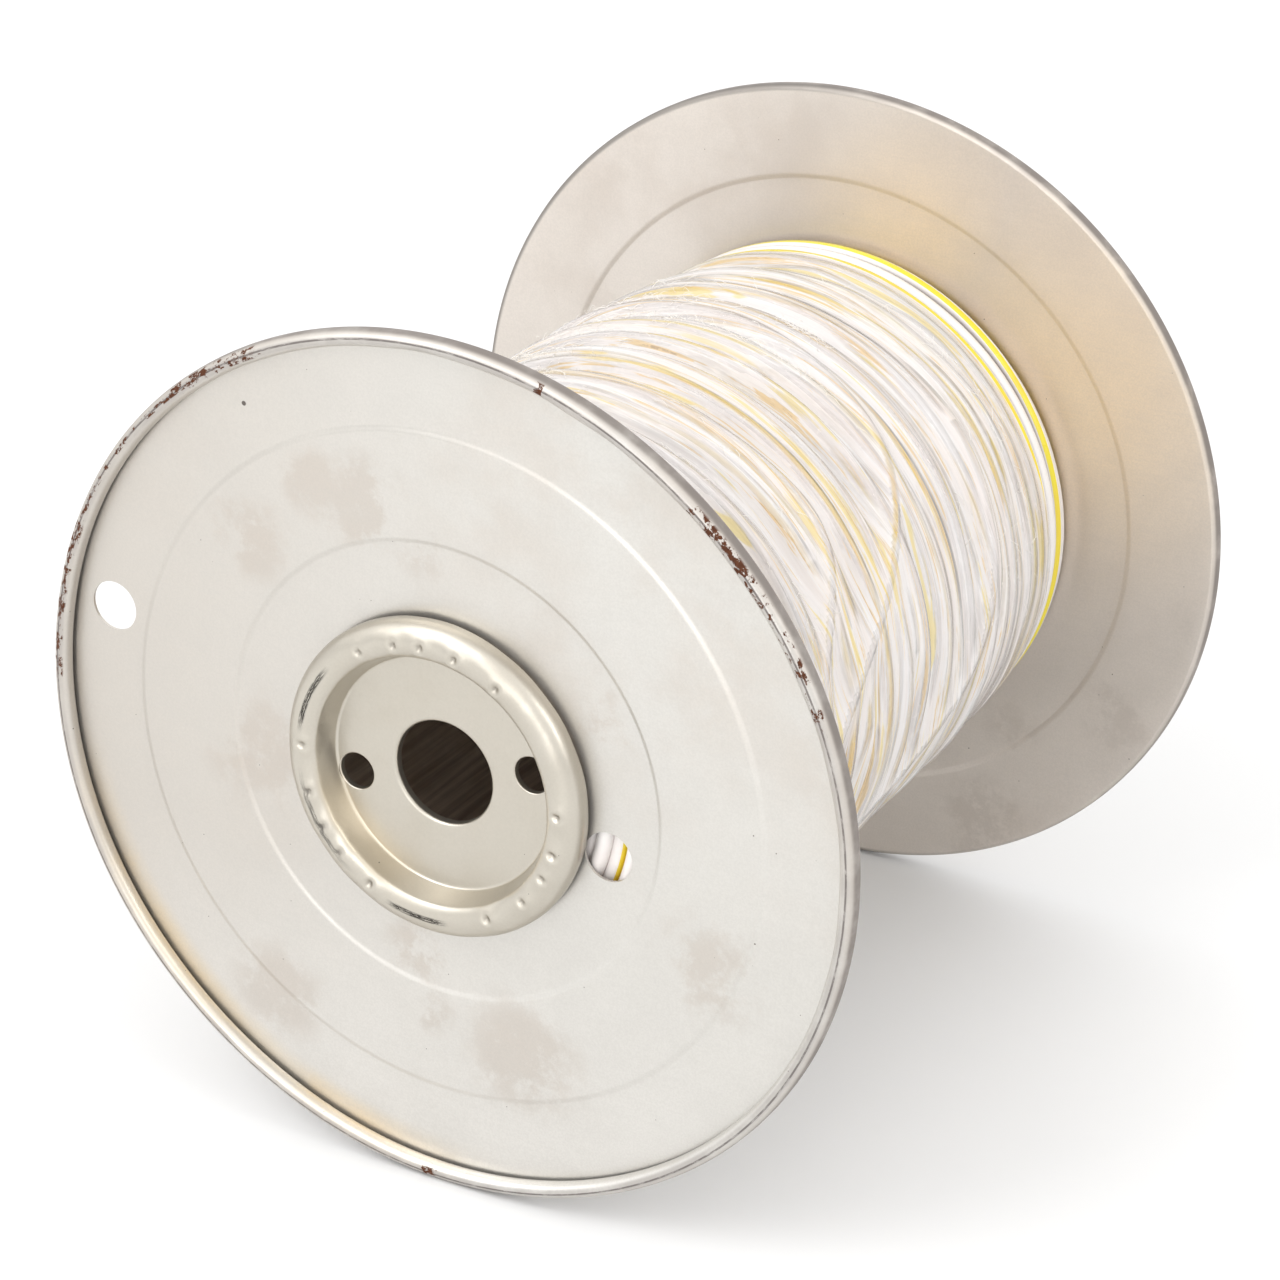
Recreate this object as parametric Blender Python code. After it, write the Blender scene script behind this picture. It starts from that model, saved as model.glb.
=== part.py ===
"""Steel wire spool, lying on its two rims with its axis along Y.

Seven pieces: two stamped flanges with rolled rims, two pressed hub caps, a rolled barrel with a
lock seam, the wire wound on the barrel, and the stretch film round the winding.
Units are metres, +Z is up, and the origin is on the axis, midway between the flanges.
"""

from math import cos, pi, radians, sin

import bmesh
import bpy
from mathutils import Matrix, Vector

INCH = 0.0254
MM = 0.001

# Driving dimensions
FLANGE_RADIUS = 10.5 * INCH / 2
ARBOR_RADIUS = 1.25 * INCH / 2
BARREL_RADIUS = 3.5 * INCH / 2
RIM_SPACING = 243 * MM  # between the planes that the two ends' heights are measured from
SHEET = 0.9 * MM
GAP = 0.3 * MM  # between neighbouring pieces

# Flange stamping: depths are inwards from the end's plane, heights outwards
CURL_HALF_WIDTH = 2.4 * MM
CURL_CREST_HEIGHT = 4.0 * MM
CURL_ROUND_HEIGHT = 1.2 * MM  # where the rim's straight side ends and its round top begins
CURL_END_DEG = 215
RIM_BEND = 0.8 * MM  # inside radius between the face and the rim's side
FACE_DEPTH = 1.3 * MM
BAND_DEPTH = 0.7 * MM
BAND_INNER_RADIUS = 70.9 * MM
BAND_OUTER_RADIUS = 103.8 * MM
STEP_WIDTH = 1.4 * MM
FLANGE_BORE = BARREL_RADIUS + 0.45 * MM
THREAD_HOLE_RADIUS = 7.65 * MM  # both the lash hole and the start hole
LASH_HOLE = (116.0 * MM, radians(167))
START_HOLE = (55.6 * MM, radians(-13))

# Hub cap pressing: heights are outwards from the end's plane
WEB_HEIGHT = -1.2 * MM
COLLAR_LENGTH = 2.8 * MM
CUP_RADIUS = 36.4 * MM
LIP_CREST = (43.0 * MM, 7.7 * MM)
LIP_RADIUS = 49.0 * MM
LIP_GAP = 1.8 * MM  # between the lip's cut edge and the flange
DRIVE_HOLE_RADIUS = 5.6 * MM
DRIVE_HOLE_OFFSET = 30.2 * MM
DRIVE_HOLE_ANGLE = radians(13)

# Barrel, winding and film
FLARE_RADIUS = 46.8 * MM
SEAM_WIDTH = 6 * MM
SEAM_DEPTH = 0.8 * MM
SEAM_ANGLE = radians(215)
FILM = 0.6 * MM
FILM_END = 101 * MM
WINDING_RADII = ((-1.0, 86.5 * MM), (-0.5, 88.3 * MM), (0.3, 88.5 * MM), (0.7, 86.8 * MM),
                 (1.0, 83.6 * MM))

# Segments round each turned piece. Each starts half a segment round, so flats lie at the bottom.
FLANGE_SEGMENTS = 64
HUB_SEGMENTS = 40
WINDING_SEGMENTS = 64
HOLE_SEGMENTS = 24

END_PLANE = RIM_SPACING / 2
FACE_INSIDE = END_PLANE - FACE_DEPTH - SHEET
WINDING_END = FACE_INSIDE - GAP


def clear_scene():
    for obj in list(bpy.data.objects):
        bpy.data.objects.remove(obj, do_unlink=True)


def make_material(name, colour, roughness, metallic, alpha=1.0):
    material = bpy.data.materials.new(name)
    material.use_nodes = True
    shader = material.node_tree.nodes["Principled BSDF"]
    shader.inputs["Base Color"].default_value = (*colour, 1)
    shader.inputs["Roughness"].default_value = roughness
    shader.inputs["Metallic"].default_value = metallic
    shader.inputs["Alpha"].default_value = alpha
    return material


def make_end(name, outward):
    """An empty whose +Z points along the axis, out of this end of the spool."""
    end = bpy.data.objects.new(name, None)
    end.rotation_euler = (-outward * pi / 2, 0, 0)
    bpy.context.scene.collection.objects.link(end)
    return end


def add_object(name, mesh, parent=None, material=None):
    obj = bpy.data.objects.new(name, mesh)
    obj.parent = parent
    if material and not mesh.materials:
        mesh.materials.append(material)
    bpy.context.scene.collection.objects.link(obj)
    return obj


def arc(centre, radii, start_deg, end_deg, steps):
    """Points on an ellipse's arc, as (radius, height)."""
    angles = [radians(start_deg + (end_deg - start_deg) * i / steps) for i in range(steps + 1)]
    return [(centre[0] + radii[0] * cos(a), centre[1] + radii[1] * sin(a)) for a in angles]


def sheet_outline(path, thickness):
    """The closed outline of a sheet: the path, and the same path moved to its right-hand side."""
    points = [Vector(p) for p in path]
    moved = []
    for i, point in enumerate(points):
        before = (point - points[max(i - 1, 0)]).normalized()
        after = (points[min(i + 1, len(points) - 1)] - point).normalized()
        along = (before + after).normalized()
        right = Vector((along.y, -along.x))
        spread = max(along.dot(after or before), 0.7) if 0 < i < len(points) - 1 else 1
        moved.append(point + right * thickness / spread)
    return points + moved[::-1]


def turned(name, outline, segments):
    """A solid of revolution about Z, from a closed outline of (radius, height) points."""
    half = pi / segments
    mesh = bpy.data.meshes.new(name)
    bm = bmesh.new()
    ring = [bm.verts.new((r * cos(half), r * sin(half), z)) for r, z in outline]
    edges = [bm.edges.new((a, b)) for a, b in zip(ring, ring[1:] + ring[:1])]
    bmesh.ops.spin(bm, geom=ring + edges, axis=(0, 0, 1), cent=(0, 0, 0), angle=2 * pi,
                   steps=segments, use_merge=True, use_duplicate=False)
    bmesh.ops.remove_doubles(bm, verts=bm.verts, dist=1e-6)
    bmesh.ops.recalc_face_normals(bm, faces=bm.faces)
    bm.to_mesh(mesh)
    bm.free()
    mesh.shade_smooth()
    mesh.set_sharp_from_angle(angle=radians(40))
    return mesh


def drill(obj, name, radius, offset, angle, height):
    """Cuts a round hole along Z through the object, centred at this height."""
    bm = bmesh.new()
    place = Matrix.Translation((offset * cos(angle), offset * sin(angle), height))
    bmesh.ops.create_cone(bm, cap_ends=True, segments=HOLE_SEGMENTS, radius1=radius, radius2=radius,
                          depth=12 * SHEET, matrix=place)
    mesh = bpy.data.meshes.new(name)
    bm.to_mesh(mesh)
    bm.free()
    cutter = add_object(name, mesh, obj.parent)
    cutter.hide_render = True
    cutter.display_type = "WIRE"
    cut = obj.modifiers.new(name, "BOOLEAN")
    cut.operation = "DIFFERENCE"
    cut.solver = "EXACT"
    cut.object = cutter


def flange_mesh():
    """The stamped disc: hub hole, raised band between two steps, sloping outer zone, rolled rim."""
    face = END_PLANE - FACE_DEPTH
    band = END_PLANE - BAND_DEPTH
    half_step = STEP_WIDTH / 2
    path = [
        (FLANGE_BORE, face),
        (BAND_INNER_RADIUS - half_step, face),
        (BAND_INNER_RADIUS + half_step, band),
        (BAND_OUTER_RADIUS - half_step, band),
        (BAND_OUTER_RADIUS + half_step, face),
    ]
    path += arc((FLANGE_RADIUS - SHEET - RIM_BEND, face + RIM_BEND), (RIM_BEND, RIM_BEND), -90, 0, 2)
    centre = (FLANGE_RADIUS - CURL_HALF_WIDTH, END_PLANE + CURL_ROUND_HEIGHT)
    radii = (CURL_HALF_WIDTH - SHEET, CURL_CREST_HEIGHT - CURL_ROUND_HEIGHT - SHEET)
    path += arc(centre, radii, 0, CURL_END_DEG, 8)
    return turned("flange", sheet_outline(path, SHEET), FLANGE_SEGMENTS)


def hub_cap_mesh():
    """The pressed cup: arbor collar turned inwards, flat web, curved wall, broad rolled lip."""
    web = END_PLANE + WEB_HEIGHT
    crest_radius, crest_height = LIP_CREST
    crest = END_PLANE + crest_height
    lip_middle = END_PLANE + 2.6 * MM
    lip_foot = END_PLANE - FACE_DEPTH + LIP_GAP
    path = [(ARBOR_RADIUS, web - COLLAR_LENGTH)]
    path += arc((ARBOR_RADIUS + 1.2 * MM, web - 1.2 * MM), (1.2 * MM, 1.2 * MM), 180, 90, 2)
    path += arc((CUP_RADIUS - 1.6 * MM, web + 1.6 * MM), (1.6 * MM, 1.6 * MM), -90, -20, 2)
    path += [(CUP_RADIUS + 0.9 * MM, web + 5.7 * MM)]
    path += arc((crest_radius, crest - 2.4 * MM), (4.6 * MM, 2.4 * MM), 150, 90, 2)
    path += arc((crest_radius, lip_middle), (LIP_RADIUS - crest_radius, crest - lip_middle), 62, 0, 3)
    path += [(LIP_RADIUS - 0.2 * MM, lip_foot)]
    return turned("hub_cap", sheet_outline(path, SHEET), HUB_SEGMENTS)


def make_flange(name, end, mesh, material):
    flange = add_object(name, mesh, end, material)
    height = END_PLANE - FACE_DEPTH
    drill(flange, name + "_lash_hole", THREAD_HOLE_RADIUS, *LASH_HOLE, height)
    drill(flange, name + "_start_hole", THREAD_HOLE_RADIUS, *START_HOLE, height)


def make_hub_cap(name, end, mesh, material):
    cap = add_object(name, mesh, end, material)
    for i in range(2):
        drill(cap, f"{name}_drive_hole_{i + 1}", DRIVE_HOLE_RADIUS, DRIVE_HOLE_OFFSET,
              DRIVE_HOLE_ANGLE + i * pi, END_PLANE + WEB_HEIGHT)


def make_barrel(parent, material):
    """A tube whose ends pass through the flanges and flare out over them, with a seam inside."""
    seat = END_PLANE - FACE_DEPTH + GAP
    bend = 0.5 * MM
    upper = [(FLARE_RADIUS, seat), (BARREL_RADIUS + bend, seat), (BARREL_RADIUS, seat - bend)]
    inner = BARREL_RADIUS - SHEET
    top = [(inner, seat + SHEET - bend), (inner + bend, seat + SHEET), (FLARE_RADIUS, seat + SHEET)]
    outline = upper + [(r, -z) for r, z in upper[::-1]] + [(r, -z) for r, z in top[::-1]] + top
    barrel = add_object("barrel", turned("barrel", outline, HUB_SEGMENTS), parent, material)

    bm = bmesh.new()
    middle = inner - SEAM_DEPTH / 2 + SHEET / 4
    size = Matrix.Diagonal((SEAM_DEPTH + SHEET / 2, SEAM_WIDTH, 2 * (seat - bend), 1))
    place = Matrix.Rotation(SEAM_ANGLE, 4, "Z") @ Matrix.Translation((middle, 0, 0))
    bmesh.ops.create_cube(bm, size=1, matrix=place @ size)
    mesh = bpy.data.meshes.new("barrel_seam")
    bm.to_mesh(mesh)
    bm.free()
    seam = add_object("barrel_seam", mesh, parent)
    seam.hide_render = True
    seam.display_type = "WIRE"
    join = barrel.modifiers.new("seam", "BOOLEAN")
    join.operation = "UNION"
    join.solver = "EXACT"
    join.object = seam


def make_winding(parent, material):
    """The whole of the wire's turns as one ring round the barrel."""
    outer = [(radius, -share * WINDING_END) for share, radius in WINDING_RADII]
    inner = BARREL_RADIUS + GAP
    outline = outer + [(inner, -WINDING_END), (inner, WINDING_END)]
    add_object("wire_winding", turned("wire_winding", outline, WINDING_SEGMENTS), parent, material)


def make_film(parent, material):
    """A skin over the winding, open at both ends, which leaves the last turns bare."""
    share_end = FILM_END / WINDING_END
    profile = [p for p in WINDING_RADII if p[0] < share_end]
    (s0, r0), (s1, r1) = profile[-1], WINDING_RADII[len(profile)]
    profile.append((share_end, r0 + (r1 - r0) * (share_end - s0) / (s1 - s0)))
    under = [(radius + GAP, -share * WINDING_END) for share, radius in profile]
    over = [(r + FILM, z) for r, z in under]
    add_object("stretch_film", turned("stretch_film", over + under[::-1], WINDING_SEGMENTS),
               parent, material)


def main():
    clear_scene()
    front = make_end("front_end", -1)
    rear = make_end("rear_end", 1)
    flange_steel = make_material("flange_steel", (0.74, 0.72, 0.68), 0.38, 0.9)
    cap_steel = make_material("cap_steel", (0.68, 0.66, 0.60), 0.32, 0.95)
    barrel_steel = make_material("barrel_steel", (0.42, 0.38, 0.34), 0.5, 0.9)
    wire = make_material("wire_insulation", (0.90, 0.88, 0.86), 0.35, 0.0)
    film = make_material("stretch_film", (0.93, 0.93, 0.92), 0.2, 0.0, 0.4)
    flange = flange_mesh()
    cap = hub_cap_mesh()
    for side, end in (("front", front), ("rear", rear)):
        make_flange(side + "_flange", end, flange, flange_steel)
        make_hub_cap(side + "_hub_cap", end, cap, cap_steel)
    make_barrel(front, barrel_steel)
    make_winding(front, wire)
    make_film(front, film)


main()
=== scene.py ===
"""Looks of the steel wire spool: stamped flanges, pressed hub caps, barrel, wound wire and film.

Everything is in the spool's own frame: metres, axis along Y, front flange at -Y, +Z up.
"""

import math

import bmesh
import bpy
import numpy as np
from mathutils import Matrix, Vector

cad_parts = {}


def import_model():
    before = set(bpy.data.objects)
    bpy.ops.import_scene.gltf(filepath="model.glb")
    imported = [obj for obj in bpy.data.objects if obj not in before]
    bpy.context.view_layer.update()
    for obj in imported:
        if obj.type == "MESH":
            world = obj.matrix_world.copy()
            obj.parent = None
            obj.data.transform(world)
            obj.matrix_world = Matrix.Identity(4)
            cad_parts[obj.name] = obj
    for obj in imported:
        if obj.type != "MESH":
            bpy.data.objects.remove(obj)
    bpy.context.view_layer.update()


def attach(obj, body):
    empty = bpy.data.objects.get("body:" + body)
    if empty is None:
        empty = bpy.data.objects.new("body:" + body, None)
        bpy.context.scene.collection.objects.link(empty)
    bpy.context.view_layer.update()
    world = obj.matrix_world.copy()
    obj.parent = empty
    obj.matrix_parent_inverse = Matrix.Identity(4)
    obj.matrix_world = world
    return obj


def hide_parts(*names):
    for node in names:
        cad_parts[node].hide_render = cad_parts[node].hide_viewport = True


MM = 0.001
TURN = 2 * math.pi

# ---- sizes of the stampings
FLANGE_RADIUS = 133.35 * MM
ARBOR_RADIUS = 15.875 * MM
BARREL_RADIUS = 44.45 * MM
END_PLANE = 121.5 * MM
SHEET = 0.9 * MM
CURL_HALF_WIDTH = 2.4 * MM
CURL_CREST_HEIGHT = 4.0 * MM
CURL_ROUND_HEIGHT = 1.2 * MM
CURL_END_DEG = 215
RIM_BEND = 0.8 * MM
FACE = END_PLANE - 1.3 * MM
BAND = END_PLANE - 0.71 * MM
BAND_INNER_RADIUS = 70.9 * MM
BAND_OUTER_RADIUS = 103.8 * MM
INNER_STEP_WIDTH = 2.2 * MM
OUTER_STEP_WIDTH = 2.5 * MM
FLANGE_BORE = BARREL_RADIUS + 0.45 * MM
THREAD_HOLE_RADIUS = 7.65 * MM
LASH_HOLE = (116.0 * MM, math.radians(167))
START_HOLE = (55.6 * MM, math.radians(-13))

WEB = END_PLANE - 1.2 * MM
COLLAR_LENGTH = 2.8 * MM
CUP_RADIUS = 36.4 * MM
LIP_CREST_RADIUS = 43.0 * MM
LIP_CREST = END_PLANE + 7.7 * MM
LIP_MIDDLE = END_PLANE + 2.6 * MM
LIP_RADIUS = 49.0 * MM
LIP_GAP = 1.8 * MM  # between the lip's cut edge and the flange
DRIVE_HOLE_RADIUS = 5.6 * MM
DRIVE_HOLE = (30.2 * MM, math.radians(13))
STAKES_DEG = (0, 20, 35, 47, 64)
FIRST_STAKE_DEG = 57
STAKE_RADIUS = LIP_CREST_RADIUS - 0.5 * MM
SHARP = math.radians(50)  # edges of the sheet that bend more than this stay crisp

FLARE_RADIUS = 46.8 * MM
SEAM_DEG = 215

# ---- wire and film
WIRE = 2.535 * MM  # radius of the insulated wire
SIDES = 12  # flats round a wire
PITCH = 5.15 * MM  # from one tidy turn to the next
STRIPE_DEG = 22  # half of the coloured stripe's width, as an angle round the wire
WINDING_END = 119.0 * MM
WIRE_END = WINDING_END - WIRE - 0.15 * MM  # the middle of the outermost turns
COLUMNS = 384  # round the spool
ROW = 0.4 * MM  # along the axis
ROWS = int(2 * WINDING_END / ROW) + 1
ROW_Y = np.arange(ROWS) * ROW - WINDING_END
CHORD = math.cos(TURN / COLUMNS)
TUBE_STEP = 3  # columns between two rings of a wire's mesh
STRETCH = COLUMNS // 2  # columns laid at a time
AHEAD = 56  # columns looked at before and after them
FILM_EDGE = 101 * MM
BED_DEPTH = 15.0 * MM  # from the outside to the middle of the last tidy layer
BARE_BED_DEPTH = 7.4 * MM  # the same under the last turns, which only one pass covers
BED_END = 113 * MM
PRESSED = 0.3  # how much of a pile's extra height is left once it is pulled tight
PULLS = 220  # rounds of pulling a stretch straight
HIDDEN = int(COLUMNS * 215 / 360)  # where a pass starts and ends, below and behind
HIDDEN_ANGLE = TURN * HIDDEN / COLUMNS
FIRST_TURNS = 45  # in the pass from front to rear
SECOND_TURNS = 38  # in the pass back, which is more open
SECOND_START = 97 * MM
END_RINGS = 8  # turns against each flange
END_RING_RADIUS = 46.9 * MM
END_RING_STEP = 4.75 * MM
# strands that cross over the others: degrees round the spool, places in mm along it, seed
STRANDS = (
    ([-75, -50, -20, 7, 14, 21, 32, 45, 80, 130, 170],
     [-98, -90, -68, -43, -22, -6, 12, 26, 33, 38, 40], 21),
    ([-60, -30, 0, 17, 24, 29, 34, 40, 48, 90, 140],
     [-90, -80, -66, -52, -42, -31, -24, -22, -26, -34, -38], 22),
    ([-80, -50, -38, -30, -26, -20, -12, 10, 40], [-76, -64, -48, -30, -5, 20, 45, 58, 64], 23),
    ([140, 170, 190, 205, 215, 240, 290], [-70, -55, -30, 0, 24, 44, 52], 24),
)

# ---- the view
EYE = (0.6139, -1.0729, 0.5796)
EYE_DOWN_DEG = 25.412
EYE_LEFT_DEG = 29.978
LENS = 126.07
# name, place, size and power of each light, all aimed at the spool's middle
LIGHTS = (("key", (-0.9, -1.5, 1.7), (1.5, 1.5), 20), ("side", (1.8, -0.3, 1.1), (0.9, 1.2), 8),
          ("front", (0.25, -1.9, 0.4), (1.0, 0.8), 5))


# ======== meshes
def quad_mesh(name, points, quads, caps=()):
    """A smooth mesh from an array of points and an array of four-cornered faces."""
    mesh = bpy.data.meshes.new(name)
    faces = quads.tolist() + [list(c) for c in caps]
    mesh.from_pydata(points.reshape(-1, 3).tolist(), [], faces)
    mesh.shade_smooth()
    return mesh


def grid_quads(rows, columns, wrap_rows, wrap_columns):
    """Faces of a grid of points, closed round either way."""
    a = np.arange(rows if wrap_rows else rows - 1)
    b = np.arange(columns if wrap_columns else columns - 1)
    a, b = np.meshgrid(a, b, indexing="ij")
    c, d = (a + 1) % rows, (b + 1) % columns
    corners = [a * columns + b, c * columns + b, c * columns + d, a * columns + d]
    return np.stack(corners, axis=-1).reshape(-1, 4)


def point_outwards(mesh):
    bm = bmesh.new()
    bm.from_mesh(mesh)
    bmesh.ops.recalc_face_normals(bm, faces=bm.faces)
    bm.to_mesh(mesh)
    bm.free()


def point_values(mesh, name, values):
    mesh.attributes.new(name, "FLOAT", "POINT").data.foreach_set("value", values)


def add_object(name, data, *materials):
    obj = bpy.data.objects.new(name, data)
    bpy.context.scene.collection.objects.link(obj)
    for material in materials:
        data.materials.append(material)
    return obj


def arc(centre, radii, start_deg, end_deg, steps):
    angles = np.radians(np.linspace(start_deg, end_deg, steps + 1))
    return [(centre[0] + radii[0] * math.cos(a), centre[1] + radii[1] * math.sin(a)) for a in angles]


def dense(path, step):
    """The path with points added so that none are further apart than step."""
    out = [path[0]]
    for p, q in zip(path, path[1:]):
        n = max(1, math.ceil(math.dist(p, q) / step))
        out += [(p[0] + (q[0] - p[0]) * i / n, p[1] + (q[1] - p[1]) * i / n) for i in range(1, n + 1)]
    return out


def sheet_outline(path, thickness):
    """The closed outline of a sheet: the path, and the same path moved to its right-hand side."""
    points = [Vector(p) for p in path]
    moved = []
    for i, point in enumerate(points):
        before = (point - points[max(i - 1, 0)]).normalized()
        after = (points[min(i + 1, len(points) - 1)] - point).normalized()
        along = (before + after).normalized()
        right = Vector((along.y, -along.x))
        spread = max(along.dot(after or before), 0.7) if 0 < i < len(points) - 1 else 1
        moved.append(point + right * thickness / spread)
    return np.array([tuple(p) for p in points + moved[::-1]])


def turned(name, outline, segments, side, shape=None):
    """A turned ring from a closed outline of (radius, height outwards). side is -1 front, 1 rear.

    shape takes the radius, height and angle of every point and gives the radius and height to use.
    """
    angle = TURN * np.arange(segments) / segments
    r = np.tile(outline[:, 0], (segments, 1))
    h = np.tile(outline[:, 1], (segments, 1))
    a = np.tile(angle[:, None], (1, len(outline)))
    if shape:
        r, h = shape(r, h, a)
    points = np.stack([r * np.cos(a), side * h, -side * r * np.sin(a)], axis=-1)
    mesh = quad_mesh(name, points, grid_quads(segments, len(outline), True, True))
    point_outwards(mesh)
    return mesh


def end_point(offset, angle, height, side):
    """A point on an end of the spool. The rear end is the front one turned over about X."""
    return Vector((offset * math.cos(angle), side * height, -side * offset * math.sin(angle)))


def boolean(obj, mesh, operation):
    """Joins or cuts another closed mesh, and leaves the result in the object's own mesh."""
    tool = add_object(mesh.name, mesh)
    change = obj.modifiers.new(mesh.name, "BOOLEAN")
    change.operation = operation
    change.solver = "EXACT"
    change.object = tool
    graph = bpy.context.evaluated_depsgraph_get()
    made = bpy.data.meshes.new_from_object(obj.evaluated_get(graph))
    obj.modifiers.clear()
    old, obj.data = obj.data, made
    made.name = old.name
    bpy.data.objects.remove(tool)
    bpy.data.meshes.remove(old)


def drill(obj, radius, offset, angle, height, side, segments=64):
    bm = bmesh.new()
    place = Matrix.Translation(end_point(offset, angle, height, side))
    turn = Matrix.Rotation(math.pi / 2, 4, "X")
    bmesh.ops.create_cone(bm, cap_ends=True, segments=segments, radius1=radius, radius2=radius,
                          depth=10 * MM, matrix=place @ turn)
    mesh = bpy.data.meshes.new("drill")
    bm.to_mesh(mesh)
    bm.free()
    boolean(obj, mesh, "DIFFERENCE")


def turned_away(a, middle):
    """Angles from a middle angle, within half a turn either way."""
    return (a - middle + math.pi) % TURN - math.pi


def bump_field(a, seed, waves, low=2, high=9):
    """A smooth number round the spool, from a few waves of random size and phase."""
    rng = np.random.default_rng(seed)
    total = np.zeros_like(a)
    for _ in range(waves):
        n = rng.integers(low, high)
        total += rng.normal() * np.cos(n * a + rng.uniform(0, TURN)) / math.sqrt(waves)
    return total


# ======== the steel pieces
def finish_piece(obj, node):
    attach(obj, "root")
    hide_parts(node)


def step(radius, half, before, after):
    """A soft step in a pressed sheet, without its first point."""
    steps = 8
    return [(radius - half + 2 * half * i / steps,
             before + (after - before) * (1 - math.cos(math.pi * i / steps)) / 2)
            for i in range(1, steps + 1)]


def flange_path():
    inner, half = INNER_STEP_WIDTH / 2, OUTER_STEP_WIDTH / 2
    flat = dense([(FLANGE_BORE, FACE), (BAND_INNER_RADIUS - inner, FACE)], 6 * MM)
    step_up = step(BAND_INNER_RADIUS, inner, FACE, BAND)
    band = dense([(BAND_INNER_RADIUS + inner, BAND), (BAND_OUTER_RADIUS - half, BAND)], 6 * MM)[1:]
    step_down = step(BAND_OUTER_RADIUS, half, BAND, FACE)
    bend = FLANGE_RADIUS - SHEET - RIM_BEND
    foot = dense([(BAND_OUTER_RADIUS + half, FACE), (bend, FACE)], 4 * MM)[1:-1]
    side = arc((bend, FACE + RIM_BEND), (RIM_BEND, RIM_BEND), -90, 0, 8)
    side += [(FLANGE_RADIUS - SHEET, END_PLANE + 0.4 * MM)]
    centre = (FLANGE_RADIUS - CURL_HALF_WIDTH, END_PLANE + CURL_ROUND_HEIGHT)
    radii = (CURL_HALF_WIDTH - SHEET, CURL_CREST_HEIGHT - CURL_ROUND_HEIGHT - SHEET)
    curl = arc(centre, radii, 0, CURL_END_DEG, 30)
    return flat + step_up + band + step_down + foot + side + curl


def make_flange(name, node, side, material):
    seed = 11 if side < 0 else 23

    def shape(r, h, a):
        """The curl's free edge is dented finely, and the whole rim is a little wavy."""
        free = np.clip((r - 125.5 * MM) / (7.8 * MM), 0, 1) * np.clip((h - END_PLANE) / (4 * MM), 0, 1)
        inside = np.clip((131.8 * MM - r) / (3 * MM), 0, 1) * free
        r = r + inside * 0.35 * MM * bump_field(a, seed, 26, 5, 40)
        h = h + inside * 0.25 * MM * bump_field(a, seed + 1, 26, 5, 40)
        rim = np.clip((r - 110 * MM) / (20 * MM), 0, 1)
        h = h + rim * 0.22 * MM * bump_field(a, seed + 2, 6, 2, 6)
        return r, h

    outline = sheet_outline(flange_path(), SHEET)
    flange = add_object(name, turned(name, outline, 360, side, shape), material)
    for hole in (LASH_HOLE, START_HOLE):
        drill(flange, THREAD_HOLE_RADIUS, *hole, FACE, side)
    flange.data.set_sharp_from_angle(angle=SHARP)
    finish_piece(flange, node)


def hub_cap_path():
    path = [(ARBOR_RADIUS, WEB - COLLAR_LENGTH), (ARBOR_RADIUS, WEB - 1.9 * MM)]
    path += arc((ARBOR_RADIUS + 1.2 * MM, WEB - 1.2 * MM), (1.2 * MM, 1.2 * MM), 180, 90, 8)
    fillet = 1.0 * MM
    path += dense([path[-1], (CUP_RADIUS - fillet, WEB)], 2 * MM)[1:-1]
    path += arc((CUP_RADIUS - fillet, WEB + fillet), (fillet, fillet), -90, -20, 8)
    crest_start = arc((LIP_CREST_RADIUS, LIP_CREST - 2.4 * MM), (4.6 * MM, 2.4 * MM), 165, 90, 22)
    path += dense([path[-1], crest_start[0]], 0.8 * MM)[1:-1]
    path += crest_start
    path += arc((LIP_CREST_RADIUS, LIP_MIDDLE), (LIP_RADIUS - LIP_CREST_RADIUS, LIP_CREST - LIP_MIDDLE),
                88, 0, 26)
    return path + dense([(LIP_RADIUS, LIP_MIDDLE), (LIP_RADIUS - 0.2 * MM, FACE + LIP_GAP)], 0.5 * MM)[1:]


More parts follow.
